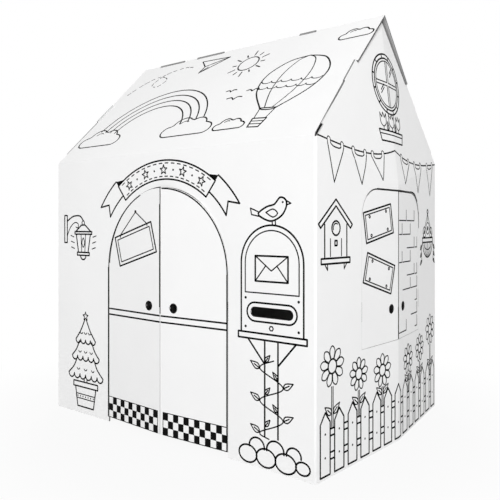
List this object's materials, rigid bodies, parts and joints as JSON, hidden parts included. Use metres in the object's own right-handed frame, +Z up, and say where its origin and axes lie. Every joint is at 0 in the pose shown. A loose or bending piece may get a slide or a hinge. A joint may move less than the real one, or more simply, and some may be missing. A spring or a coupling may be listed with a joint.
{
  "type": "cardboard playhouse",
  "caption": "Walk-in play house folded from white corrugated board, with an arched double front door, a side hatch with shutters, a slot and a pitched roof.",
  "frame": {"origin": "on the floor at the middle of the house's footprint", "axes": "+Z up, the front wall with the door faces -Y, the gable with the hatch faces +X"},
  "size_m": [0.918, 0.6753, 1.0304],
  "materials": {
    "board": "white-lined corrugated board, matte",
    "door_board": "white-lined corrugated board, matte",
    "hatch_board": "white-lined corrugated board, matte",
    "ink": "matte black print"
  },
  "bodies": {
    "house": {"house_shell": "board"},
    "door_left": {"front_door_left": "door_board"},
    "door_right": {"front_door_right": "door_board"},
    "hatch_front": {"hatch_leaf_front": "hatch_board"},
    "hatch_rear": {"hatch_leaf_rear": "hatch_board"}
  },
  "joints": [
    {"name": "door_left_swing", "type": "hinge", "parent": "house", "child": "door_left", "pos_m": [-0.203, -0.332, 0.3], "axis": [0, 0, -1], "range_deg": [-3.2, 150]},
    {"name": "door_right_swing", "type": "hinge", "parent": "house", "child": "door_right", "pos_m": [0.203, -0.332, 0.3], "axis": [0, 0, 1], "range_deg": [-3.2, 150]},
    {"name": "hatch_front_swing", "type": "hinge", "parent": "house", "child": "hatch_front", "pos_m": [0.44375, -0.16329, 0.42], "axis": [0, 0, -1], "range_deg": [0, 150]},
    {"name": "hatch_rear_swing", "type": "hinge", "parent": "house", "child": "hatch_rear", "pos_m": [0.44375, 0.16329, 0.42], "axis": [0, 0, 1], "range_deg": [0, 150]}
  ]
}
